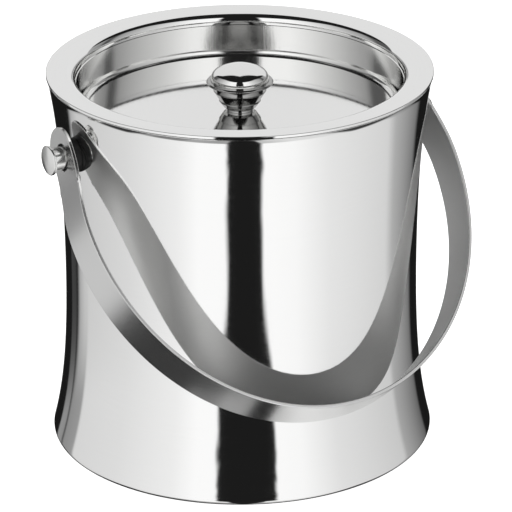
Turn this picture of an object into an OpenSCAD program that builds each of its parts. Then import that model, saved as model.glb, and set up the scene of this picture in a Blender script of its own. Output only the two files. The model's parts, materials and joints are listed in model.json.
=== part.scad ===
// Double-wall steel ice bucket with a swinging strap bail and a drop-in lid.
// Millimetres. +Z up, origin at the centre of the base, bail pivots along X,
// and the bail hangs towards -Y.

/* [Body] */
// Height of the bucket from the base to the rim's outer edge
body_h = 171.6; // [150:0.1:200]
// Outer radius of the rim
rim_r = 85; // [84:0.5:88]
// Outer radius that the flared foot runs out to
foot_r = 86.5; // [86:0.1:88]
// Radius that pulls the lower part of the wall's curve in
lower_pull_r = 74.7; // [73:0.1:78]
// Radius that shapes the waist in the middle of the wall's curve
waist_pull_r = 80.6; // [79:0.1:81]
// Radius that pulls the upper part of the wall's curve in
upper_pull_r = 76.2; // [75:0.1:79]
// Radius of the rounded edge at the foot
foot_round = 2; // [1.5:0.1:5]
// Thickness of the sheet steel in the walls
wall_t = 0.7; // [0.5:0.1:1]
// Thickness of the base plate
base_t = 0.9; // [0.7:0.1:1.5]
// Radius of the base plate
base_r = 75.8; // [70:0.1:78]

/* [Rim and liner] */
// Fall of the rim's face from its outer edge to its inner lip
rim_fall = 0.5; // [0:0.1:1]
// Radius where the rim's face turns down into its inner lip
lip_r = 76; // [75.8:0.1:77]
// Radius of the rounded inner lip
lip_round = 3.9; // [3:0.1:4]
// Depth of the inner lip below the rim
lip_depth = 5.3; // [5.1:0.1:8]
// Height of the rim ring's outer edge
rim_skirt = 1.3; // [1:0.1:2]
// Inner radius of the liner above the lid's ledge
liner_r = 71.8; // [71.5:0.1:72]
// Inner radius of the ice vessel below the ledge
vessel_r = 66; // [60:0.5:67]
// Radius of the fillet between the liner and its ledge
ledge_fillet = 3.4; // [2.4:0.1:3.8]
// Radius of the corner between the vessel's wall and its floor
floor_round = 12; // [8:1:20]
// Height of the vessel's floor above the base
floor_z = 8; // [6:1:14]

/* [Lid] */
// Depth of the lid's flat panel below the rim
lid_depth = 19.4; // [17:0.1:24]
// Radius of the lid's flat panel
panel_r = 67.8; // [66.8:0.1:68]
// Outer radius of the lid
lid_r = 69.8; // [68:0.1:69.8]
// Thickness of the lid's sheet
lid_t = 0.8; // [0.6:0.1:1]
// Rise of the lid's turned-up edge above its panel
lid_rise = 1.4; // [1:0.1:1.6]
// Gap left between the lid and the ledge that it rests on
lid_gap = 0.2; // [0.1:0.05:0.3]

/* [Knob] */
// Radius of the knob's widest lip
knob_r = 14.7; // [14:0.1:16]
// Radius of the knob's neck where it stands on the lid
neck_r = 6.2; // [5.5:0.1:7]
// Height of the knob's lip above the lid
knob_lip_h = 13.5; // [13:0.1:16]
// Radius of the domed cap
cap_r = 12.7; // [11.6:0.1:13]
// Height of the domed cap above its seat
cap_h = 7.9; // [7.6:0.1:8.6]
// Radius of the rounded shoulder of the cap
cap_shoulder = 4.4; // [4:0.1:5]
// Radius of the cap's crown
cap_crown = 21; // [19:0.1:22]
// Diameter of the knob's screw
screw_d = 4; // [3:0.5:5]

/* [Bail] */
// Height of the bail's pivots above the base
pivot_z = 146.9; // [142:0.1:150]
// Angle that the resting bail hangs below the horizontal
bail_drop = 49.5; // [30:0.1:49.5]
// Half the bail's outer width at the pivots
bail_pivot_x = 88.2; // [88:0.1:90]
// Half the bail's greatest outer width
bail_half_w = 93; // [92:0.1:95]
// Distance from the pivots to the bail's crown, outside
bail_reach = 138; // [138:0.1:145]
// Distance from the pivots to where the bail is widest
bail_belly = 36.5; // [30:0.1:40]
// Angle that the bail's ends lean outward
bail_lean = 2; // [0:0.5:8]
// Width of the strap
strap_w = 21; // [18:0.1:22]
// Thickness of the strap
strap_t = 1.5; // [1:0.1:1.8]
// Distance from the pivots to the tips of the strap
strap_tip = 13.3; // [12:0.1:14]

/* [Pivots] */
// Diameter of the pin's shoulder that the bail turns on
shoulder_d = 10; // [9:0.1:10.6]
// Diameter of the bail's pivot holes
pivot_hole_d = 12; // [10.8:0.1:12.6]
// Diameter of the pin's head
head_d = 13.2; // [13:0.1:16]
// Thickness of the pin's head at its edge
head_t = 1.2; // [1:0.1:2]
// Height of the head's crown above its edge
head_crown = 0.6; // [0.3:0.1:1]
// Distance from the bucket's axis to the underside of the pin's head
head_x = 93.9; // [92:0.1:98]
// Diameter of the pin's threaded end
stud_d = 5; // [4:0.5:6]
// Diameter of the spacer between the wall and the bail
spacer_d = 15.2; // [14:0.1:17]
// Distance from the bucket's axis to the outer end of the spacer
spacer_x = 85.6; // [84:0.1:85.7]

/* [Hidden] */
$fn = 128;

// Steps in the wall's curve, in each arm of the bail and in its bow
wall_steps = 36;
arm_steps = 6;
bow_steps = 44;
// Steps in the shoulder and in the crown of the cap
shoulder_steps = 10;
crown_steps = 10;
// Dark seam between the rim ring and the wall below it
seam_gap = 0.25;
// Depth of the flange that closes the top of the wall
shell_flange = 6;
// Clearance on radius of a screw in a drilled hole, and in its own thread
hole_clear = 0.2;
thread_clear = 0.05;
// Reach of the cutting shapes past the metal
past = 1;

shell_top_z = body_h - rim_skirt - seam_gap;
panel_z = body_h - lid_depth;
ledge_z = panel_z - lid_t - lid_gap;

// Distance from the axis to the inner face of the saddle washer and the nut, and the pin's tip
washer_x = 78.6;
nut_x = 74.6;
tip_x = 73.6;
washer_d = 12;
// Hexagon nut, across its corners
nut_d = 9.2;

// Knob's outline: neck, the two beads round its cone, the lip's bevel and the seat of the cap
neck_h = 1;
neck_flare = 1.2;
bead = 0.3;
low_bead_r = knob_r - 5.4;
low_bead_z = 4.2;
high_bead_r = knob_r - 3;
high_bead_z = 8.9;
lip_bevel = 0.7;
seat_z = knob_lip_h - 0.6;

// Knob's screw: head, washer, and depth of the thread in the knob
screw_head_d = 8;
screw_head_h = 2.2;
knob_washer_d = 11;
knob_washer_t = 0.8;
thread_h = 9;
screw_reach = 8;

steel = [0.80, 0.81, 0.82];
bright_steel = [0.88, 0.89, 0.90];
plain_steel = [0.62, 0.63, 0.65];
black_rubber = [0.06, 0.06, 0.06];

// ---- Curves ----

// Point or value at t, from 0 to 1, of the Bezier curve with the controls c
function bezier(c, t) =
    len(c) == 1
        ? c[0]
        : bezier([for (i = [0 : len(c) - 2]) (1 - t) * c[i] + t * c[i + 1]], t);

// Outer radius of the waisted wall at height z
function shell_r(z) = bezier([foot_r, lower_pull_r, waist_pull_r, upper_pull_r, rim_r], z / body_h);

// Angle that the wall leans out towards the foot at height z
function shell_lean(z) = atan((shell_r(z - 1) - shell_r(z + 1)) / 2);

// Unit normal of the path p at its point i, to the right of the way along it
function path_normal(p, i) =
    let (d = p[min(i + 1, len(p) - 1)] - p[max(i - 1, 0)])
    [d[1], -d[0]] / norm(d);

// The foot's round meets the wall where their directions agree, and laps into its neighbours
foot_lap = 6;
foot_lean = shell_lean(foot_round * 1.25);
foot_join_z = foot_round * (1 + sin(foot_lean));
foot_centre_r = shell_r(foot_join_z) - foot_round * cos(foot_lean);

// Right half of the bail's outer face: the leaning end, the arm and the bow
lean_dir = [sin(bail_lean), cos(bail_lean)];
arm_pull = 14;
bow_len = bail_reach - bail_belly;
arm_curve = [
    [bail_pivot_x, 0],
    [bail_pivot_x, 0] + arm_pull * lean_dir,
    [bail_half_w, bail_belly - arm_pull],
    [bail_half_w, bail_belly]
];
right_half = concat(
    [[bail_pivot_x, 0] - (strap_tip + past) * lean_dir],
    [for (i = [0 : arm_steps]) bezier(arm_curve, i / arm_steps)],
    [for (i = [1 : bow_steps / 2])
        let (a = 180 * i / bow_steps)
        [bail_half_w * cos(a), bail_belly + bow_len * sin(a)]]
);
left_half = [for (i = [len(right_half) - 2 : -1 : 0]) [-right_half[i][0], right_half[i][1]]];
bail_outer = concat(right_half, left_half);
bail_inner = [for (i = [len(bail_outer) - 1 : -1 : 0]) bail_outer[i] - strap_t * path_normal(bail_outer, i)];

// The arcs of the cap's shoulder and crown meet where their directions agree
cap_shoulder_x = cap_r - cap_shoulder;
cap_crown_z = cap_h - cap_crown;
cap_shoulder_z = cap_crown_z + sqrt(pow(cap_crown - cap_shoulder, 2) - pow(cap_shoulder_x, 2));
cap_meet = atan2(cap_shoulder_z - cap_crown_z, cap_shoulder_x);

// Outline of the domed cap, less a skin of thickness inset, from its edge to its top
function cap_outline(inset) = concat(
    [[cap_r - inset, 0]],
    [for (i = [0 : shoulder_steps])
        let (a = cap_meet * i / shoulder_steps)
        [cap_shoulder_x, cap_shoulder_z] + (cap_shoulder - inset) * [cos(a), sin(a)]],
    [for (i = [1 : crown_steps])
        let (a = cap_meet + (90 - cap_meet) * i / crown_steps)
        [0, cap_crown_z] + (cap_crown - inset) * [cos(a), sin(a)]]
);

// Ring of thickness t inside radius r, from angle a0 to a1 (under 180 apart)
module arc_band(r, t, a0, a1) {
    mid = (a0 + a1) / 2;
    far = 2 * r / cos((a1 - a0) / 4);
    intersection() {
        difference() {
            circle(r);
            circle(r - t);
        }
        polygon([
            [0, 0],
            far * [cos(a0), sin(a0)],
            far * [cos(mid), sin(mid)],
            far * [cos(a1), sin(a1)]
        ]);
    }
}

// Everything inside the wall's outer face, less a skin of thickness inset
module wall_envelope(inset) {
    zs = [for (i = [0 : wall_steps]) foot_join_z + (shell_top_z - foot_join_z) * i / wall_steps];
    polygon(concat(
        [[0, foot_join_z]],
        [for (z = zs) [shell_r(z) - inset, z]],
        [[0, shell_top_z]]
    ));
}

// Cylinder along X, from x0 out to x1
module along_x(x0, x1, d, sides = $fn) {
    translate([x0, 0, pivot_z]) rotate([0, 90, 0]) cylinder(h = x1 - x0, d = d, $fn = sides);
}

// ---- Bucket ----

// Waisted outer wall, with a rounded foot and a flange turned in at each end
module outer_shell() {
    color(bright_steel) difference() {
        rotate_extrude() {
            difference() {
                wall_envelope(0);
                wall_envelope(wall_t);
            }
            translate([foot_centre_r, foot_round])
                arc_band(foot_round, wall_t, -90 - foot_lap, foot_lean + foot_lap);
            translate([base_r + hole_clear, 0]) square([foot_centre_r - base_r - hole_clear, wall_t]);
            translate([shell_r(shell_top_z) - shell_flange, shell_top_z - wall_t])
                square([shell_flange - wall_t / 2, wall_t]);
        }
        along_x(-foot_r, foot_r, stud_d + 2 * hole_clear);
    }
}

// Drawn liner: upper wall, ledge for the lid, and the ice vessel
module inner_liner() {
    corner_r = vessel_r - floor_round;
    color(steel) rotate_extrude() {
        translate([liner_r, ledge_z + ledge_fillet])
            square([wall_t, body_h - lip_depth - ledge_z - ledge_fillet]);
        translate([liner_r - ledge_fillet, ledge_z + ledge_fillet])
            arc_band(ledge_fillet + wall_t, wall_t, -90, 0);
        translate([vessel_r, ledge_z - wall_t])
            square([liner_r - ledge_fillet - vessel_r, wall_t]);
        translate([vessel_r, floor_z + floor_round])
            square([wall_t, ledge_z - floor_z - floor_round]);
        translate([corner_r, floor_z + floor_round])
            arc_band(floor_round + wall_t, wall_t, -90, 0);
        translate([0, floor_z - wall_t]) square([corner_r, wall_t]);
    }
}

// Rim whose face falls a little from a short outer edge to a rolled inner lip
module rim_ring() {
    lip_z = body_h - rim_fall;
    color(bright_steel) rotate_extrude() {
        polygon([
            [lip_r, lip_z - wall_t],
            [rim_r, body_h - wall_t],
            [rim_r, body_h],
            [lip_r, lip_z]
        ]);
        translate([rim_r - wall_t, body_h - rim_skirt]) square([wall_t, rim_skirt - wall_t / 2]);
        translate([lip_r, lip_z - lip_round]) arc_band(lip_round, wall_t, 90, 180);
        translate([lip_r - lip_round, body_h - lip_depth])
            square([wall_t, lip_z - lip_round - body_h + lip_depth]);
    }
}

// Flat disc that closes the foot
module base_plate() {
    color(steel) cylinder(h = base_t, r = base_r);
}

// ---- Pivots, drawn on the right and mirrored to the left ----

module pivot_pin() {
    crown_r = (head_d * head_d / 4 + head_crown * head_crown) / (2 * head_crown);
    edge_x = head_x + head_t;
    color(bright_steel) translate([0, 0, pivot_z]) rotate([0, 90, 0]) rotate_extrude() {
        translate([0, tip_x]) square([stud_d / 2, spacer_x - tip_x]);
        translate([0, spacer_x]) square([shoulder_d / 2, head_x - spacer_x]);
        translate([0, head_x]) square([head_d / 2, head_t]);
        intersection() {
            translate([0, edge_x + head_crown - crown_r]) circle(crown_r);
            translate([0, edge_x]) square([head_d / 2, head_crown]);
        }
    }
}

module spacer() {
    color(black_rubber) difference() {
        along_x(washer_x, spacer_x, spacer_d);
        rotate_extrude() wall_envelope(0);
        along_x(washer_x - past, spacer_x + past, stud_d + 2 * hole_clear);
    }
}

// Washer inside the wall, with one face curved to fit it
module saddle_washer() {
    color(plain_steel) difference() {
        intersection() {
            along_x(washer_x, rim_r, washer_d);
            rotate_extrude() wall_envelope(wall_t);
        }
        along_x(washer_x - past, rim_r, stud_d + 2 * hole_clear);
    }
}

module pivot_nut() {
    color(plain_steel) difference() {
        along_x(nut_x, washer_x, nut_d, 6);
        along_x(nut_x - past, washer_x + past, stud_d + 2 * thread_clear);
    }
}

module pivot_pin_left() { mirror([1, 0, 0]) pivot_pin(); }
module pivot_pin_right() { pivot_pin(); }
module spacer_left() { mirror([1, 0, 0]) spacer(); }
module spacer_right() { spacer(); }
module saddle_washer_left() { mirror([1, 0, 0]) saddle_washer(); }
module saddle_washer_right() { saddle_washer(); }
module pivot_nut_left() { mirror([1, 0, 0]) pivot_nut(); }
module pivot_nut_right() { pivot_nut(); }

// ---- Bail ----

// Flat strap bent into a hoop, with round ends bored for the pins
module bail_strap() {
    end_r = strap_w / 2;
    span = 2 * (bail_half_w + past);
    color(bright_steel) difference() {
        translate([0, 0, pivot_z]) rotate([180 + bail_drop, 0, 0]) intersection() {
            translate([0, 0, -end_r]) linear_extrude(strap_w) polygon(concat(bail_outer, bail_inner));
            translate([-span / 2, 0, 0]) union() {
                translate([0, end_r - strap_tip, 0]) rotate([0, 90, 0]) cylinder(h = span, r = end_r);
                translate([0, end_r - strap_tip, -end_r]) cube([span, bail_reach + strap_tip, strap_w]);
            }
        }
        along_x(-bail_half_w - past, bail_half_w + past, pivot_hole_d);
    }
}

// ---- Lid ----

// Round panel with a turned-up edge, resting on the liner's ledge
module lid_panel() {
    hole_r = screw_d / 2 + hole_clear;
    color(bright_steel) rotate_extrude() polygon([
        [hole_r, panel_z - lid_t],
        [panel_r, panel_z - lid_t],
        [lid_r, panel_z + lid_rise - lid_t],
        [lid_r, panel_z + lid_rise],
        [panel_r, panel_z],
        [hole_r, panel_z]
    ]);
}

// Turned body of the knob: a neck, a stepped cone and a lip with a seat for the cap
module knob_body() {
    seat_r = cap_r + 0.1;
    color(bright_steel) translate([0, 0, panel_z]) difference() {
        rotate_extrude() polygon([
            [0, 0],
            [neck_r, 0],
            [neck_r, neck_h],
            [neck_r + neck_flare, neck_h + neck_flare / 2],
            [low_bead_r, low_bead_z],
            [low_bead_r - bead, low_bead_z + bead],
            [high_bead_r, high_bead_z],
            [high_bead_r - bead, high_bead_z + bead],
            [knob_r - 4 * lip_bevel, knob_lip_h - 2.5 * lip_bevel],
            [knob_r, knob_lip_h - 1.5 * lip_bevel],
            [knob_r, knob_lip_h - lip_bevel],
            [knob_r - lip_bevel / 2, knob_lip_h],
            [seat_r, knob_lip_h],
            [seat_r, seat_z],
            [0, seat_z]
        ]);
        translate([0, 0, -past]) cylinder(h = thread_h + past, d = screw_d + 2 * thread_clear);
    }
}

// Thin domed cap that stands in the lip's seat
module knob_cap() {
    outside = cap_outline(0);
    inside = cap_outline(wall_t);
    color(bright_steel) translate([0, 0, panel_z + seat_z]) rotate_extrude()
        polygon(concat(outside, [for (i = [len(inside) - 1 : -1 : 0]) inside[i]]));
}

module knob_screw() {
    under_z = panel_z - lid_t - knob_washer_t;
    color(plain_steel) {
        translate([0, 0, under_z]) cylinder(h = panel_z + screw_reach - under_z, d = screw_d);
        translate([0, 0, under_z - screw_head_h]) cylinder(h = screw_head_h, d = screw_head_d);
    }
}

module knob_washer() {
    color(plain_steel) translate([0, 0, panel_z - lid_t - knob_washer_t]) difference() {
        cylinder(h = knob_washer_t, d = knob_washer_d);
        translate([0, 0, -past]) cylinder(h = knob_washer_t + 2 * past, d = screw_d + 2 * hole_clear);
    }
}

outer_shell();
inner_liner();
rim_ring();
base_plate();
pivot_pin_left();
pivot_pin_right();
spacer_left();
spacer_right();
saddle_washer_left();
saddle_washer_right();
pivot_nut_left();
pivot_nut_right();
bail_strap();
lid_panel();
knob_body();
knob_cap();
knob_screw();
knob_washer();
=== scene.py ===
import json
import math

import bpy
from mathutils import Matrix, Vector


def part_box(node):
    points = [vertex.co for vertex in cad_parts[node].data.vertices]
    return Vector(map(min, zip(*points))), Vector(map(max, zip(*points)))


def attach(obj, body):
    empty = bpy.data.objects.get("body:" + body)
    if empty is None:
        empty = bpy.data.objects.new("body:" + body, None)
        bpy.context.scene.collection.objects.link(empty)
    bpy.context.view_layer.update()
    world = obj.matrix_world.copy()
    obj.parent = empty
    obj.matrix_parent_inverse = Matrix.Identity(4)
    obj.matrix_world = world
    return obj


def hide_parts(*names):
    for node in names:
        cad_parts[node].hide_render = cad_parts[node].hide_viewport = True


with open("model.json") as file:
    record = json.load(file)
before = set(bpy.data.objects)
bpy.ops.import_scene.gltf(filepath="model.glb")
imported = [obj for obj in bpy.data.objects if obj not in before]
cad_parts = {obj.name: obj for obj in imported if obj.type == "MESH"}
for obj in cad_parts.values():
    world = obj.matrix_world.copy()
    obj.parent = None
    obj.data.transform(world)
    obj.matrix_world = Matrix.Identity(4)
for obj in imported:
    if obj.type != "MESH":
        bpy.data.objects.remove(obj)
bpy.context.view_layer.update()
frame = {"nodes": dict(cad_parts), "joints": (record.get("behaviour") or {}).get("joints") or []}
nodes = frame["nodes"]

MM = 0.001

# ---------------------------------------------------------------- sizes, worked out from the frame
rim_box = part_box("rim_ring")
wall_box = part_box("outer_shell")
lid_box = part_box("lid_panel")
knob_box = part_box("knob_body")
cap_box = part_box("knob_cap")
pin_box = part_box("pivot_pin_right")
spacer_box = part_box("spacer_right")
bail_joint = next(j for j in frame["joints"] if j["name"] == "bail_swing")

# a hair that keeps the smooth pieces inside the boxes of the exact solids
HAIR = 0.02 * MM
# a radius below this is on the axis
ON_AXIS = 1e-4 * MM

body_h = rim_box[1].z
rim_r = rim_box[1].x
wall_top = wall_box[1].z
pivot_z = bail_joint["pos_m"][2]
SHEET_T = 0.7 * MM

# the waisted wall: controls of the curve of its outer radius, from the base to the rim
WALL_CURVE = [86.5 * MM, 74.7 * MM, 80.6 * MM, 76.2 * MM, rim_r]
FOOT_ROUND = 2 * MM
PLATE_HOLE_R = 76 * MM
WALL_FLANGE = 6 * MM

RIM_SKIRT = 1.3 * MM
RIM_FALL = 0.5 * MM
LIP_R = 76 * MM
LIP_ROUND = 3.9 * MM
LIP_DEPTH = 5.3 * MM
LINER_R = 71.8 * MM
VESSEL_R = 66 * MM
LEDGE_FILLET = 3.4 * MM
FLOOR_ROUND = 12 * MM
FLOOR_Z = 8 * MM

PANEL_R = 67.8 * MM
LID_T = 0.8 * MM
LID_RISE = 1.4 * MM
LID_GAP = 0.2 * MM
lid_r = lid_box[1].x
edge_z = lid_box[1].z
panel_z = edge_z - LID_RISE
ledge_z = panel_z - LID_T - LID_GAP

knob_r = knob_box[1].x
knob_lip_z = knob_box[1].z
cap_top = cap_box[1].z
cap_r = cap_box[1].x
CAP_SHOULDER = 4.4 * MM
CAP_CROWN = 21 * MM
NECK_R = 6.2 * MM

# the bail, in its own plane: across from the axis, and away from the pivots
BAIL_PIVOT_X = 88.2 * MM
BAIL_BELLY = 36.5 * MM
BAIL_REACH = 138 * MM
BAIL_LEAN = math.radians(2)
BAIL_DROP = math.radians(49.5)
BAIL_PULL = 14 * MM
STRAP_W = 21 * MM
STRAP_T = 1.5 * MM
STRAP_TIP = 13.3 * MM
STRAP_OVERRUN = 2 * MM
PIVOT_HOLE_R = 6 * MM
BAIL_HALF_W = 93 * MM

SHOULDER_R = 5 * MM
STUD_R = 2.5 * MM
HEAD_R = 6.6 * MM
HEAD_T = 1.2 * MM
HEAD_CROWN = 0.6 * MM
SPACER_R = 7.6 * MM
pin_top = pin_box[1].x
pin_tip = pin_box[0].x
spacer_x = spacer_box[1].x
head_x = pin_top - HEAD_T - HEAD_CROWN


# ---------------------------------------------------------------- curves and meshes
def bezier(controls, t):
    """Value or vector at t of the Bezier curve with these controls."""
    points = list(controls)
    while len(points) > 1:
        points = [a * (1 - t) + b * t for a, b in zip(points, points[1:])]
    return points[0]


def wall_r(z):
    """Outer radius of the waisted wall at height z."""
    return bezier(WALL_CURVE, z / body_h)


def wall_slope(z):
    """Change of the wall's radius with height."""
    step = 0.5 * MM
    return (wall_r(z + step) - wall_r(z - step)) / (2 * step)


def arc(r, z, radius, a0, a1, steps=12):
    """Points of the arc about (r, z) from angle a0 to a1, in degrees."""
    turns = [math.radians(a0 + (a1 - a0) * k / steps) for k in range(steps + 1)]
    return [(r + radius * math.cos(a), z + radius * math.sin(a)) for a in turns]


def rounded(corners, fineness=math.radians(9)):
    """Polyline through (r, z, radius) corners, with an arc of that radius at each inner one."""
    line = []
    for i, (r, z, radius) in enumerate(corners):
        here = Vector((r, z))
        if radius <= 0 or i in (0, len(corners) - 1):
            line.append((r, z))
            continue
        back = (Vector(corners[i - 1][:2]) - here).normalized()
        on = (Vector(corners[i + 1][:2]) - here).normalized()
        half = back.angle(on) / 2
        run = radius / math.tan(half)
        centre = here + (back + on).normalized() * radius / math.sin(half)
        start = here + back * run - centre
        turn = math.pi - 2 * half
        if start.x * on.y - start.y * on.x < 0:
            turn = -turn
        steps = max(2, round(abs(turn) / fineness))
        for k in range(steps + 1):
            point = centre + Matrix.Rotation(turn * k / steps, 2) @ start
            line.append((point.x, point.y))
    return line


def finish_with(obj, mat):
    obj.data.materials.clear()
    obj.data.materials.append(mat)


def new_mesh(name, verts, faces, body, stands_for, mat, smooth_angle=30):
    """Piece that takes the place of a CAD node and rides on a body."""
    mesh = bpy.data.meshes.new(name)
    mesh.from_pydata(verts, [], faces)
    mesh.validate()
    mesh.shade_smooth()
    mesh.set_sharp_from_angle(angle=math.radians(smooth_angle))
    obj = bpy.data.objects.new(name, mesh)
    bpy.context.scene.collection.objects.link(obj)
    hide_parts(stands_for)
    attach(obj, body)
    finish_with(obj, mat)
    return obj


def spin(profile, segments):
    """Verts and faces of the closed (r, z) profile turned about Z.

    The profile runs anticlockwise, and its points on the axis become poles.
    """
    verts, rings = [], []
    for r, z in profile:
        first = len(verts)
        if r < ON_AXIS:
            rings.append([first])
            verts.append((0, 0, z))
            continue
        rings.append(list(range(first, first + segments)))
        for k in range(segments):
            a = 2 * math.pi * k / segments
            verts.append((r * math.cos(a), r * math.sin(a), z))
    faces = []
    for low, high in zip(rings, rings[1:] + rings[:1]):
        if len(low) == 1 and len(high) == 1:
            continue
        for k in range(segments):
            n = (k + 1) % segments
            if len(low) == 1:
                faces.append((low[0], high[n], high[k]))
            elif len(high) == 1:
                faces.append((low[k], low[n], high[0]))
            else:
                faces.append((low[k], low[n], high[n], high[k]))
    return verts, faces


def turned(name, profile, body, stands_for, mat, segments):
    """Piece turned about Z."""
    verts, faces = spin(profile, segments)
    return new_mesh(name, verts, faces, body, stands_for, mat)


# ---------------------------------------------------------------- node graphs
class Graph:
    """Short names for building a node tree."""

    def __init__(self, tree):
        self.tree = tree

    def node(self, kind, **settings):
        made = self.tree.nodes.new(kind)
        for key, value in settings.items():
            setattr(made, key, value)
        return made

    def plug(self, source, socket):
        if hasattr(source, "is_output"):
            self.tree.links.new(source, socket)
        else:
            socket.default_value = source

    def math(self, operation, *values):
        made = self.node("ShaderNodeMath", operation=operation)
        for value, socket in zip(values, made.inputs):
            self.plug(value, socket)
        return made.outputs[0]

    def dot(self, vector, direction):
        made = self.node("ShaderNodeVectorMath", operation="DOT_PRODUCT")
        self.plug(vector, made.inputs[0])
        made.inputs[1].default_value = direction
        return made.outputs["Value"]

    def step(self, value, low, high, smooth=True):
        """0 below low, 1 above high, and a ramp between."""
        made = self.node("ShaderNodeMapRange", interpolation_type="SMOOTHSTEP" if smooth else "LINEAR")
        self.plug(value, made.inputs["Value"])
        self.plug(low, made.inputs["From Min"])
        self.plug(high, made.inputs["From Max"])
        return made.outputs["Result"]

    def mix(self, factor, a, b):
        made = self.node("ShaderNodeMix", data_type="FLOAT")
        self.plug(factor, made.inputs["Factor"])
        self.plug(a, made.inputs["A"])
        self.plug(b, made.inputs["B"])
        return made.outputs["Result"]

    def ramp(self, value, stops):
        """Colour ramp over (position, grey) stops."""
        made = self.node("ShaderNodeValToRGB")
        ramp = made.color_ramp
        while len(ramp.elements) < len(stops):
            ramp.elements.new(0.5)
        for element, (position, grey) in zip(ramp.elements, stops):
            element.position = position
            element.color = (grey, grey, grey, 1)
        self.plug(value, made.inputs[0])
        return made.outputs[0]

    def noise(self, vector, scale, detail=2, roughness=0.5):
        made = self.node("ShaderNodeTexNoise")
        self.plug(vector, made.inputs["Vector"])
        made.inputs["Scale"].default_value = scale
        made.inputs["Detail"].default_value = detail
        made.inputs["Roughness"].default_value = roughness
        return made.outputs["Fac"]

    def join(self, x, y, z):
        made = self.node("ShaderNodeCombineXYZ")
        for value, socket in zip((x, y, z), made.inputs):
            self.plug(value, socket)
        return made.outputs[0]

    def split(self, vector):
        made = self.node("ShaderNodeSeparateXYZ")
        self.plug(vector, made.inputs[0])
        return made.outputs

    def bump(self, height, strength, distance):
        made = self.node("ShaderNodeBump")
        self.plug(height, made.inputs["Height"])
        made.inputs["Strength"].default_value = strength
        made.inputs["Distance"].default_value = distance
        return made.outputs[0]


def material(name, colour, metallic, roughness):
    """New material, with its node graph and its shader."""
    mat = bpy.data.materials.new(name)
    mat.use_nodes = True
    shader = mat.node_tree.nodes["Principled BSDF"]
    shader.inputs["Base Color"].default_value = (*colour, 1)
    shader.inputs["Metallic"].default_value = metallic
    shader.inputs["Roughness"].default_value = roughness
    return mat, Graph(mat.node_tree), shader


def round_coordinates(graph):
    """Radius, angle and height about the row's axis, in metres and radians."""
    place = graph.node("ShaderNodeTexCoord").outputs["Object"]
    x, y, z = graph.split(place)
    across = graph.math("MULTIPLY", x, x)
    along = graph.math("MULTIPLY", y, y)
    radius = graph.math("SQRT", graph.math("ADD", across, along))
    return radius, graph.math("ARCTAN2", y, x), z


def hairline_steel(name, colour, gloss, lines, along, strength, sparse=2.0):
    """Steel with fine lines round the row's axis.

    gloss is the roughness between the lines and in them. The lines take that many noise cells a
    metre across and along cells a radian, and a larger sparse leaves fewer of them.
    """
    smooth, rough = gloss
    mat, graph, shader = material(name, colour, 1, smooth)
    radius, angle, z = round_coordinates(graph)
    field = graph.join(
        graph.math("MULTIPLY", radius, lines),
        graph.math("MULTIPLY", z, lines),
        graph.math("MULTIPLY", angle, along),
    )
    streaks = graph.noise(field, 1, 3, 0.6)
    worn = graph.math("POWER", streaks, sparse)
    graph.plug(graph.mix(worn, smooth, rough), shader.inputs["Roughness"])
    tint = graph.node("ShaderNodeMix", data_type="RGBA")
    graph.plug(streaks, tint.inputs["Factor"])
    tint.inputs["A"].default_value = (*(c * 0.96 for c in colour), 1)
    tint.inputs["B"].default_value = (*colour, 1)
    graph.plug(tint.outputs["Result"], shader.inputs["Base Color"])
    graph.plug(graph.bump(streaks, strength, 0.02 * MM), shader.inputs["Normal"])
    return mat


polished = hairline_steel(
    "polished_steel", (0.93, 0.93, 0.925), (0.03, 0.14), lines=2600, along=3, strength=0.05
)
rim_steel = hairline_steel(
    "rim_steel", (0.93, 0.93, 0.925), (0.02, 0.06), lines=2600, along=2, strength=0.02
)
lid_steel = hairline_steel(
    "lid_steel", (0.92, 0.92, 0.915), (0.04, 0.12), lines=2000, along=2, strength=0.03
)
knob_steel = hairline_steel(
    "knob_steel", (0.90, 0.90, 0.89), (0.05, 0.12), lines=5000, along=3, strength=0.03
)
pin_steel = hairline_steel(
    "pin_steel", (0.93, 0.93, 0.92), (0.16, 0.26), lines=4000, along=3, strength=0.03
)
inner_strap_steel = hairline_steel(
    "inner_strap_steel", (0.96, 0.96, 0.955), (0.38, 0.48), lines=1500, along=20, strength=0.10, sparse=1.0
)
edge_steel = hairline_steel(
    "edge_steel", (0.95, 0.95, 0.945), (0.08, 0.16), lines=1500, along=20, strength=0.05, sparse=1.0
)
strap_steel = hairline_steel(
    "strap_steel", (0.90, 0.90, 0.895), (0.17, 0.28), lines=1500, along=20, strength=0.10, sparse=1.0
)
# the cone's steel is much darker than the cap's: painted shade standing in for the dark reflections on the
# knob's cone
painted_shade_cone_steel = hairline_steel(
    "painted_shade_cone_steel", (0.42, 0.42, 0.415), (0.05, 0.12), lines=5000, along=3, strength=0.03
)
plate_steel = hairline_steel(
    "plate_steel", (0.80, 0.80, 0.80), (0.22, 0.36), lines=1800, along=4, strength=0.10, sparse=1.0
)
fastener_steel = hairline_steel(
    "fastener_steel", (0.60, 0.60, 0.61), (0.25, 0.40), lines=3000, along=6, strength=0.10, sparse=1.0
)


def make_liner_steel():
    """Satin steel brushed up and down."""
    mat, graph, shader = material("liner_steel", (0.90, 0.90, 0.89), 1, 0.2)
    radius, angle, z = round_coordinates(graph)
    field = graph.join(
        graph.math("MULTIPLY", angle, 55),
        graph.math("MULTIPLY", z, 25),
        graph.math("MULTIPLY", radius, 25),
    )
    streaks = graph.noise(field, 1, 4, 0.7)
    graph.plug(graph.mix(streaks, 0.05, 0.16), shader.inputs["Roughness"])
    graph.plug(graph.bump(streaks, 0.22, 0.06 * MM), shader.inputs["Normal"])
    return mat


liner_steel = make_liner_steel()


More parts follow.
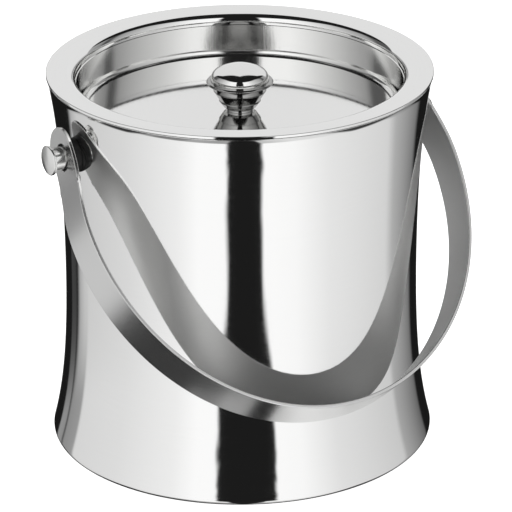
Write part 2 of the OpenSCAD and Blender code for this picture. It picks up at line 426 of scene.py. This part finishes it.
def make_rubber():
    """Black rubber with a fine grain and uneven shade."""
    mat, graph, shader = material("rubber", (0.006, 0.006, 0.006), 0, 0.42)
    shader.inputs["Specular IOR Level"].default_value = 0.3
    place = graph.node("ShaderNodeTexCoord").outputs["Object"]
    grain = graph.noise(place, 2500, 2)
    graph.plug(graph.mix(grain, 0.35, 0.55), shader.inputs["Roughness"])
    tint = graph.node("ShaderNodeMix", data_type="RGBA")
    graph.plug(graph.noise(place, 180, 3), tint.inputs["Factor"])
    tint.inputs["A"].default_value = (0.004, 0.004, 0.004, 1)
    tint.inputs["B"].default_value = (0.012, 0.012, 0.012, 1)
    graph.plug(tint.outputs["Result"], shader.inputs["Base Color"])
    graph.plug(graph.bump(grain, 0.2, 0.05 * MM), shader.inputs["Normal"])
    return mat


rubber = make_rubber()


# ---------------------------------------------------------------- bucket
def make_shell():
    """Waisted wall with a rounded foot, turned in at the base and at the top."""
    def skin_r(z):
        return wall_r(z) - HAIR

    lean = math.atan(-wall_slope(FOOT_ROUND * 1.25))
    join_z = FOOT_ROUND * (1 + math.sin(lean))
    centre_r = skin_r(join_z) - FOOT_ROUND * math.cos(lean)
    edge = 0.35 * MM
    steps = 96
    heights = [join_z + (wall_top - edge - join_z) * k / steps for k in range(1, steps + 1)]
    top_r = skin_r(wall_top)
    lean_deg = math.degrees(lean)
    outside = (
        [(PLATE_HOLE_R, 0)]
        + arc(centre_r, FOOT_ROUND, FOOT_ROUND, -90, lean_deg, 20)
        + [(skin_r(z), z) for z in heights]
        + arc(top_r - edge, wall_top - edge, edge, 15, 90, 5)
        + [(top_r - WALL_FLANGE, wall_top)]
    )
    inside = (
        [(top_r - WALL_FLANGE, wall_top - SHEET_T)]
        + [(skin_r(z) - SHEET_T, z) for z in reversed(heights[:-1])]
        + arc(centre_r, FOOT_ROUND, FOOT_ROUND - SHEET_T, lean_deg, -90, 20)
        + [(PLATE_HOLE_R, SHEET_T)]
    )
    turned("shell", outside + inside, "bucket", "outer_shell", polished, 360)


def make_rim():
    """Rim ring: its face falls a little towards the rolled inner lip."""
    edge = 0.4 * MM
    low = body_h - LIP_DEPTH
    inner_r = LIP_R - LIP_ROUND
    skirt = body_h - RIM_SKIRT
    centre = (LIP_R, body_h - RIM_FALL - LIP_ROUND)
    tilt = math.degrees(math.atan2(RIM_FALL, rim_r - LIP_R))
    nick = 0.15 * MM
    loop = (
        [(rim_r - SHEET_T, skirt), (rim_r - nick, skirt), (rim_r, skirt + nick)]
        + arc(rim_r - edge, body_h - edge, edge, 0, 90 + tilt, 8)
        + arc(*centre, LIP_ROUND, 90 + tilt, 180, 28)
        + [(inner_r, low), (inner_r + SHEET_T, low)]
        + arc(*centre, LIP_ROUND - SHEET_T, 180, 90 + tilt, 28)
        + [(rim_r - SHEET_T, body_h - SHEET_T)]
    )
    turned("rim", loop, "bucket", "rim_ring", rim_steel, 360)


def make_liner():
    """Vessel, the ledge that carries the lid, and the band above it up to the rim's lip."""
    top = body_h - LIP_DEPTH
    fillet_r = LINER_R - LEDGE_FILLET
    floor_r = VESSEL_R - FLOOR_ROUND
    brow = 0.8 * MM
    nick = 0.2 * MM
    under_ledge = ledge_z - SHEET_T
    vessel_back = VESSEL_R + SHEET_T
    inner = (
        [(0, FLOOR_Z)]
        + arc(floor_r, FLOOR_Z + FLOOR_ROUND, FLOOR_ROUND, -90, 0, 16)
        + arc(VESSEL_R + brow, ledge_z - brow, brow, 180, 90, 6)
        + arc(fillet_r, ledge_z + LEDGE_FILLET, LEDGE_FILLET, -90, 0, 10)
        + [(LINER_R, top - nick), (LINER_R + nick, top)]
    )
    outer = (
        [(LINER_R + SHEET_T, top)]
        + arc(fillet_r, ledge_z + LEDGE_FILLET, LEDGE_FILLET + SHEET_T, 0, -90, 10)
        + [(vessel_back + brow / 2, under_ledge), (vessel_back, under_ledge - brow / 2)]
        + arc(floor_r, FLOOR_Z + FLOOR_ROUND, FLOOR_ROUND + SHEET_T, 0, -90, 16)
        + [(0, FLOOR_Z - SHEET_T)]
    )
    loop = list(reversed(inner)) + list(reversed(outer))
    turned("liner", loop, "bucket", "inner_liner", liner_steel, 300)


def make_lid():
    """Flat panel with a turned-up edge."""
    bore = 2.2 * MM
    low = panel_z - LID_T
    corners = [
        (bore, low, 0),
        (PANEL_R + 0.2 * MM, low, 1.2 * MM),
        (lid_r, edge_z - LID_T, 0.2 * MM),
        (lid_r, edge_z, 0.35 * MM),
        (PANEL_R, panel_z, 0.6 * MM),
        (bore, panel_z, 0),
    ]
    turned("lid", rounded(corners), "lid", "lid_panel", lid_steel, 300)


# ---------------------------------------------------------------- knob
def make_knob():
    """Neck and two cone steps, up to a lip with a recess for the cap."""
    def up(height):
        return panel_z + height * MM

    seat = knob_lip_z - 0.6 * MM
    recess_r = cap_r + 0.1 * MM
    bore = 2.05 * MM
    low_r, high_r = knob_r - 5.4 * MM, knob_r - 3 * MM
    notch = 0.35 * MM
    corners = [
        (bore, up(0), 0),
        # neck
        (NECK_R, up(0), 0.15 * MM),
        (NECK_R, up(1), 0.3 * MM),
        (NECK_R + 1.2 * MM, up(1.6), 0.3 * MM),
        # lower and upper cone steps
        (low_r, up(4.2), 0.12 * MM),
        (low_r - notch, up(4.5), 0.15 * MM),
        (high_r, up(8.9), 0.12 * MM),
        (high_r - notch, up(9.2), 0.15 * MM),
        # lip
        (knob_r - 2.8 * MM, knob_lip_z - 1.75 * MM, 0.8 * MM),
        (knob_r, knob_lip_z - 1.05 * MM, 0.3 * MM),
        (knob_r, knob_lip_z - 0.6 * MM, 0.25 * MM),
        (knob_r - 0.5 * MM, knob_lip_z, 0.3 * MM),
        # recess for the cap
        (recess_r, knob_lip_z, 0.1 * MM),
        (recess_r, seat, 0),
        (bore, seat, 0),
    ]
    # the cone's darker steel is painted shade
    turned("knob", rounded(corners), "lid", "knob_body", painted_shade_cone_steel, 192)


def make_cap():
    """Domed cap: side, rounded shoulder and crown."""
    seat = cap_box[0].z
    crown_z = cap_top - CAP_CROWN
    shoulder_x = cap_r - CAP_SHOULDER
    reach = CAP_CROWN - CAP_SHOULDER
    shoulder_z = crown_z + math.sqrt(reach * reach - shoulder_x * shoulder_x)
    meet = math.degrees(math.atan2(shoulder_z - crown_z, shoulder_x))

    def skin(inset):
        return (
            [(cap_r - inset, seat)]
            + arc(shoulder_x, shoulder_z, CAP_SHOULDER - inset, 0, meet, 16)
            + arc(0, crown_z, CAP_CROWN - inset, meet, 90, 16)[1:]
        )

    outside = skin(0)
    inside = list(reversed(skin(SHEET_T)))
    outside[-1], inside[0] = (0, outside[-1][1]), (0, inside[0][1])
    turned("cap", outside + inside, "lid", "knob_cap", knob_steel, 192)


# ---------------------------------------------------------------- pivots
def along_x(verts, side):
    """Turns a piece made about Z so that its Z runs out along X on that side, at the pivots' height."""
    return [(side * z, -side * y, pivot_z + x) for x, y, z in verts]


def make_pin(side, name, stands_for):
    """Pivot pin: stud inside the wall, thick shoulder for the strap, and a slightly domed head."""
    crown_r = (HEAD_R * HEAD_R + HEAD_CROWN * HEAD_CROWN) / (2 * HEAD_CROWN)
    edge_x = head_x + HEAD_T
    bevel = 0.6 * MM
    spread = math.degrees(math.asin((HEAD_R - bevel) / crown_r))
    dome = arc(0, pin_top - crown_r, crown_r, 90 - spread, 90, 10)
    dome[-1] = (0, pin_top)
    profile = rounded(
        [
            (0, pin_tip, 0),
            (STUD_R, pin_tip, 0.3 * MM),
            (STUD_R, spacer_x, 0.1 * MM),
            (SHOULDER_R, spacer_x, 0.2 * MM),
            (SHOULDER_R, head_x, 0.25 * MM),
            (HEAD_R, head_x, 0.3 * MM),
            (HEAD_R, edge_x, bevel),
            dome[0] + (0,),
        ]
    ) + dome[1:]
    verts, faces = spin(profile, 128)
    new_mesh(name, along_x(verts, side), faces, "bucket", stands_for, pin_steel)


def make_spacer(side, name, stands_for):
    """Rubber spacer with a groove round it, its inner end cut to the wall's curve."""
    bevel = 0.5 * MM
    groove_x = spacer_x - 3.4 * MM
    bore = STUD_R + 0.2 * MM
    wall = spacer_box[0].x
    foot = wall + MM
    clear_of_wall = 0.05 * MM
    squeeze = 0.2
    outer_r = SPACER_R - HAIR
    profile = [(bore, wall), (outer_r, wall)] + rounded(
        [
            (outer_r, foot, 0),
            (outer_r, groove_x - 0.3 * MM, 0.1 * MM),
            (SPACER_R - 0.5 * MM, groove_x, 0.1 * MM),
            (outer_r, groove_x + 0.3 * MM, 0.1 * MM),
            (outer_r, spacer_x, bevel),
            (bore, spacer_x, 0),
        ]
    )
    verts, faces = spin(profile, 96)
    shaped = []
    for x, y, z in verts:
        if z <= foot:
            face = math.sqrt(wall_r(pivot_z + x) ** 2 - y * y) + clear_of_wall
            z = face + (z - wall) * squeeze
        shaped.append((x, y, z))
    new_mesh(name, along_x(shaped, side), faces, "bucket", stands_for, rubber)


# ---------------------------------------------------------------- bail
def bail_path():
    """Outer face of the bail in its own plane, from past one tip to past the other.

    Gives its points, and their distances along it from the right pivot.
    """
    tip_steps, arm_steps, bow_steps = 8, 40, 160
    lean = Vector((math.sin(BAIL_LEAN), math.cos(BAIL_LEAN)))
    root = Vector((BAIL_PIVOT_X, 0))
    widest = Vector((BAIL_HALF_W, BAIL_BELLY))
    above_widest = Vector((BAIL_HALF_W, BAIL_BELLY - BAIL_PULL))
    arm = [root, root + BAIL_PULL * lean, above_widest, widest]
    bow = BAIL_REACH - BAIL_BELLY
    past_pivot = (STRAP_TIP + STRAP_OVERRUN) * lean
    right = [root - past_pivot * (1 - k / tip_steps) for k in range(tip_steps)]
    right += [bezier(arm, k / arm_steps) for k in range(arm_steps + 1)]
    quarter = [math.pi / 2 * k / bow_steps for k in range(1, bow_steps + 1)]
    right += [Vector((BAIL_HALF_W * math.cos(a), BAIL_BELLY + bow * math.sin(a))) for a in quarter]
    left = [Vector((-p.x, p.y)) for p in reversed(right[:-1])]
    points = right + left
    lengths = [0]
    for a, b in zip(points, points[1:]):
        lengths.append(lengths[-1] + (b - a).length)
    at_pivot = lengths[tip_steps]
    return points, [length - at_pivot for length in lengths]


def make_bail():
    """Flat strap with round ends, bent along its path."""
    points, lengths = bail_path()
    total = lengths[-1] - (STRAP_TIP + STRAP_OVERRUN)
    drop_c, drop_s = math.cos(BAIL_DROP), math.sin(BAIL_DROP)
    half = STRAP_W / 2

    def place(u, v, depth):
        """Point at u along the strap, v across it and depth below its outer face."""
        low, high = 0, len(lengths) - 1
        while high - low > 1:
            middle = (low + high) // 2
            if lengths[middle] <= u:
                low = middle
            else:
                high = middle
        t = (u - lengths[low]) / (lengths[high] - lengths[low])

        def tangent(i):
            return (points[min(i + 1, len(points) - 1)] - points[max(i - 1, 0)]).normalized()

        way = (tangent(low) * (1 - t) + tangent(high) * t).normalized()
        here = points[low] * (1 - t) + points[high] * t - Vector((way.y, -way.x)) * depth
        return (here.x, -here.y * drop_c + v * drop_s, pivot_z - here.y * drop_s - v * drop_c)

    # flat pattern: rays from each hole to the outline of its end, then rows across the strap
    end = 13 * MM
    tip = half - STRAP_TIP
    rows = 12
    tiny = 1e-9
    corner = math.atan2(half, end)
    rays = [math.atan2(-half + STRAP_W * k / rows, end) for k in range(rows + 1)]
    turns = 60
    rays += [corner + (2 * math.pi - 2 * corner) * k / turns for k in range(1, turns)]

    def reach(a):
        """Distance from the hole's centre to the outline along the ray at angle a."""
        c, s = math.cos(a), math.sin(a)
        if c > 0 and abs(end * s / c) <= half + tiny:
            return end / c
        side = half / abs(s) if abs(s) > tiny else math.inf
        if side * c >= tip:
            return side
        b = -tip * c
        return -b + math.sqrt(b * b - tip * tip + half * half)

    rings = 7
    flat, index, faces = [], {}, []

    def vertex(u, v):
        """Index of the vertex at (u, v), the same one for places that meet."""
        key = (round(u * 1e7), round(v * 1e7))
        if key not in index:
            index[key] = len(flat)
            flat.append((u, v))
        return index[key]

    def end_piece(mirror):
        """Faces round the hole of one end."""
        grid = []
        for a in rays:
            far = reach(a)
            line = []
            for k in range(rings + 1):
                d = PIVOT_HOLE_R + (far - PIVOT_HOLE_R) * k / rings
                u, v = d * math.cos(a), d * math.sin(a)
                line.append(vertex(total - u if mirror else u, v))
            grid.append(line)
        for i in range(len(grid)):
            near, on = grid[i], grid[(i + 1) % len(grid)]
            for k in range(rings):
                quad = (near[k], on[k], on[k + 1], near[k + 1])
                faces.append(quad if mirror else quad[::-1])

    end_piece(False)
    end_piece(True)
    spans = 200
    previous = None
    for i in range(spans + 1):
        u = end + (total - 2 * end) * i / spans
        row = [vertex(u, -half + STRAP_W * k / rows) for k in range(rows + 1)]
        if previous:
            for k in range(rows):
                faces.append((previous[k], previous[k + 1], row[k + 1], row[k]))
        previous = row

    count = len(flat)
    verts = [place(u, v, 0) for u, v in flat] + [place(u, v, STRAP_T) for u, v in flat]
    edges = dict.fromkeys(pair for face in faces for pair in zip(face, face[1:] + face[:1]))
    sides = [(b, a, a + count, b + count) for a, b in edges if (b, a) not in edges]
    backs = [tuple(v + count for v in reversed(face)) for face in faces]
    whole = faces + backs + sides
    strap = new_mesh("strap", verts, whole, "bail", "bail_strap", strap_steel, 50)
    strap.data.materials.append(edge_steel)
    strap.data.materials.append(inner_strap_steel)
    on_edge, on_back = 1, 2
    for polygon in strap.data.polygons[len(faces):]:
        polygon.material_index = on_back if polygon.index < 2 * len(faces) else on_edge
    bevel = strap.modifiers.new("edges", "BEVEL")
    bevel.width = 0.3 * MM
    bevel.segments = 3
    bevel.limit_method = "ANGLE"
    bevel.angle_limit = math.radians(50)
    bevel.harden_normals = True


make_shell()
make_rim()
make_liner()
make_lid()
make_knob()
make_cap()
for side, word in ((-1, "left"), (1, "right")):
    make_pin(side, "pin_" + word, "pivot_pin_" + word)
    make_spacer(side, "spacer_ring_" + word, "spacer_" + word)
    for hidden in ("saddle_washer_", "pivot_nut_"):
        finish_with(nodes[hidden + word], fastener_steel)
make_bail()
finish_with(nodes["base_plate"], plate_steel)
finish_with(nodes["knob_screw"], fastener_steel)
finish_with(nodes["knob_washer"], fastener_steel)


# ---------------------------------------------------------------- studio
CAMERA_AZIMUTH = -29.99
CAMERA_ELEVATION = 23.03
CAMERA_DISTANCE = 1515.84 * MM
# focal length over the width of the picture
CAMERA_FOCUS = 6.605586
AIM_Z = 85 * MM
# how far the camera is turned off the aim point
CAMERA_PAN = math.radians(0.2533)
CAMERA_TILT = math.radians(-0.1183)
CAMERA_ROLL = math.radians(-0.3859)
SENSOR = 36


def swung(one, other, angle):
    """Two axes at right angles, turned by the angle in their own plane."""
    c, s = math.cos(angle), math.sin(angle)
    return one * c + other * s, other * c - one * s


def add_camera():
    """Camera at the photograph's viewing angle, turned a little off the aim point."""
    a, e = math.radians(CAMERA_AZIMUTH), math.radians(CAMERA_ELEVATION)
    back = Vector((math.sin(a) * math.cos(e), -math.cos(a) * math.cos(e), math.sin(e)))
    forward = -back
    right = Vector((math.cos(a), math.sin(a), 0))
    up = right.cross(forward)
    forward, right = swung(forward, right, CAMERA_PAN)
    forward, up = swung(forward, up, CAMERA_TILT)
    right, up = swung(right, up, CAMERA_ROLL)
    data = bpy.data.cameras.new("camera")
    data.sensor_width = SENSOR
    data.lens = CAMERA_FOCUS * SENSOR
    data.clip_start, data.clip_end = 0.1, 20
    camera = bpy.data.objects.new("camera", data)
    place = Matrix((right, up, -forward)).transposed().to_4x4()
    place.translation = Vector((0, 0, AIM_Z)) + back * CAMERA_DISTANCE
    camera.matrix_world = place
    bpy.context.scene.collection.objects.link(camera)
    bpy.context.scene.camera = camera


def add_studio_world():
    """Surroundings that the steel mirrors.

    White sweeps, a dark band at the camera, a dark ceiling in front and dark corners behind. They
    are fixed to the object's frame, and only mirrored rays see them.
    """
    world = bpy.data.worlds.new("studio")
    bpy.context.scene.world = world
    world.use_nodes = True
    tree = world.node_tree
    graph = Graph(tree)
    tree.nodes.clear()
    way = graph.node("ShaderNodeTexCoord").outputs["Generated"]
    a = math.radians(CAMERA_AZIMUTH)
    front = graph.dot(way, (math.sin(a), -math.cos(a), 0))
    right = graph.dot(way, (math.cos(a), math.sin(a), 0))
    height = graph.split(way)[2]
    azimuth = graph.math("DEGREES", graph.math("ARCTAN2", right, front))
    elevation = graph.math("DEGREES", graph.math("ARCSINE", height))

    def ring(stops):
        """Grey by azimuth from the camera, to its right, in degrees."""
        around = graph.step(azimuth, -180, 180, smooth=False)
        return graph.ramp(around, [((degrees + 180) / 360, grey) for degrees, grey in stops])

    # walls of the studio: the upper ones stand between black flags, the lower ones are plainer
    upper = ring([
        (-180, 1.0), (-171, 0.95), (-168, 0.01), (-147.5, 0.01), (-146, 0.30), (-138, 0.28),
        (-136.5, 0.05), (-134, 0.28), (-121, 0.33), (-119, 0.72), (-80, 0.78), (-42, 0.92),
        (-28, 1.05), (20, 1.05), (36, 1.02), (60, 0.80), (110, 0.62), (114, 0.40),
        (143, 0.13), (145.5, 0.01), (168, 0.01), (171, 0.95), (180, 1.0),
    ])
    lower = ring([
        (-180, 0.5), (-168, 0.01), (-135, 0.01), (-131, 0.45), (-124, 0.62), (-80, 0.74),
        (-42, 0.92), (-28, 1.05), (20, 1.05), (36, 1.02), (60, 0.85), (108, 0.70),
        (116, 0.45), (141, 0.20), (146, 0.01), (168, 0.01), (180, 0.5),
    ])
    high = ring([
        (-180, 0.80), (-148, 0.50), (-138, 0.30), (-128, 0.10), (-112, 0.10), (-104, 0.33),
        (-84, 0.50), (-60, 0.76), (-48, 0.92), (-36, 1.05), (-24, 1.05), (24, 1.05),
        (36, 0.98), (48, 0.80), (60, 0.66), (84, 0.46), (98, 0.33), (104, 0.10),
        (109, 0.08), (114, 0.26), (130, 0.40), (138, 0.55), (150, 0.65), (180, 0.80),
    ])
    deep = ring([
        (-180, 0.50), (-80, 0.50), (-64, 0.20), (-44, 0.26), (-38, 0.42), (-14, 0.36),
        (20, 0.60), (40, 0.80), (110, 0.70), (180, 0.50),
    ])
    walls = graph.mix(graph.step(elevation, -25, -19), lower, upper)
    walls = graph.mix(graph.step(elevation, -48, -44), deep, walls)
    walls = graph.mix(graph.step(elevation, 0, 8), walls, high)

    # the dark band at the camera: ragged, and wider in the middle of its height
    soft, ragged = 1.6, 6
    unevenness = graph.math("SUBTRACT", graph.noise(way, 9, 4, 0.6), 0.5)
    shifted = graph.math("ADD", azimuth, graph.math("MULTIPLY", unevenness, ragged))
    lift = graph.step(elevation, -27, -20)
    left_edge = graph.mix(lift, -9, -15)
    right_edge = graph.mix(graph.step(elevation, 0, 8), graph.mix(lift, 14, 20), 14)

    def past(edge, outside, inside):
        """1 on the band's side of an edge, with a soft change there."""
        return graph.step(shifted, graph.math(outside, edge, soft), graph.math(inside, edge, soft))

    band = graph.math("MULTIPLY", past(left_edge, "SUBTRACT", "ADD"), past(right_edge, "ADD", "SUBTRACT"))

    # the dark ceiling: it ends behind the zenith, further back at the sides, and hangs lower at the back
    aside = graph.math("ABSOLUTE", right)
    back_edge = graph.math("ADD", graph.math("ADD", front, 0.28), graph.math("MULTIPLY", aside, 0.47))
    low_edge = graph.math("MINIMUM", 0.74, graph.math("ADD", 0.70, graph.math("MULTIPLY", front, 0.49)))
    over_low = graph.math("SUBTRACT", height, low_edge)
    overhead = graph.math("MULTIPLY", graph.step(back_edge, -0.01, 0.02), graph.step(over_low, -0.02, 0.02))

    # pale sweep behind, reaching up to the ceiling
    behind = graph.math("MULTIPLY", graph.step(back_edge, 0.02, -0.01), graph.step(elevation, 4, 12))

    # painted shadow on the mirrored floor, low down all round apart from the side of the camera
    floor_shadow = graph.math("MULTIPLY", graph.step(front, 0.22, 0.08), graph.step(height, -0.60, -0.68))

    sweep_grey, dark_grey, floor_shade = 0.80, 0.012, 0.95
    above_floor = graph.math("MAXIMUM", band, overhead)
    dark = graph.math("MAXIMUM", above_floor, graph.math("MULTIPLY", floor_shadow, floor_shade))
    light = graph.mix(behind, walls, sweep_grey)
    seen = graph.mix(dark, light, dark_grey)
    back = graph.node("ShaderNodeBackground")
    graph.plug(seen, back.inputs["Color"])
    plain = graph.node("ShaderNodeBackground")
    plain.inputs["Color"].default_value = (1, 1, 1, 1)
    rays = graph.node("ShaderNodeLightPath")
    blend = graph.node("ShaderNodeMixShader")
    unmirrored = graph.math("MAXIMUM", rays.outputs["Is Camera Ray"], rays.outputs["Is Diffuse Ray"])
    graph.plug(unmirrored, blend.inputs[0])
    tree.links.new(back.outputs[0], blend.inputs[1])
    tree.links.new(plain.outputs[0], blend.inputs[2])
    tree.links.new(blend.outputs[0], graph.node("ShaderNodeOutputWorld").inputs[0])


def add_floor():
    """Plain white floor that the steel doesn't mirror, as the studio's own walls reach below the horizon."""
    size = 3
    mesh = bpy.data.meshes.new("floor")
    low = -0.05 * MM
    corners = [(x * size, y * size, low) for x, y in ((-1, -1), (1, -1), (1, 1), (-1, 1))]
    mesh.from_pydata(corners, [], [(0, 1, 2, 3)])
    floor = bpy.data.objects.new("floor", mesh)
    bpy.context.scene.collection.objects.link(floor)
    mat, graph, shader = material("floor", (0.9, 0.9, 0.9), 0, 0.8)
    shader.inputs["Emission Color"].default_value = (1, 1, 1, 1)
    shader.inputs["Emission Strength"].default_value = 0.75
    place = graph.node("ShaderNodeTexCoord").outputs["Object"]
    graph.plug(graph.mix(graph.noise(place, 30), 0.75, 0.85), shader.inputs["Roughness"])
    mesh.materials.append(mat)
    floor.visible_glossy = False


add_camera()
add_studio_world()
add_floor()
bpy.context.scene.view_settings.view_transform = "Standard"
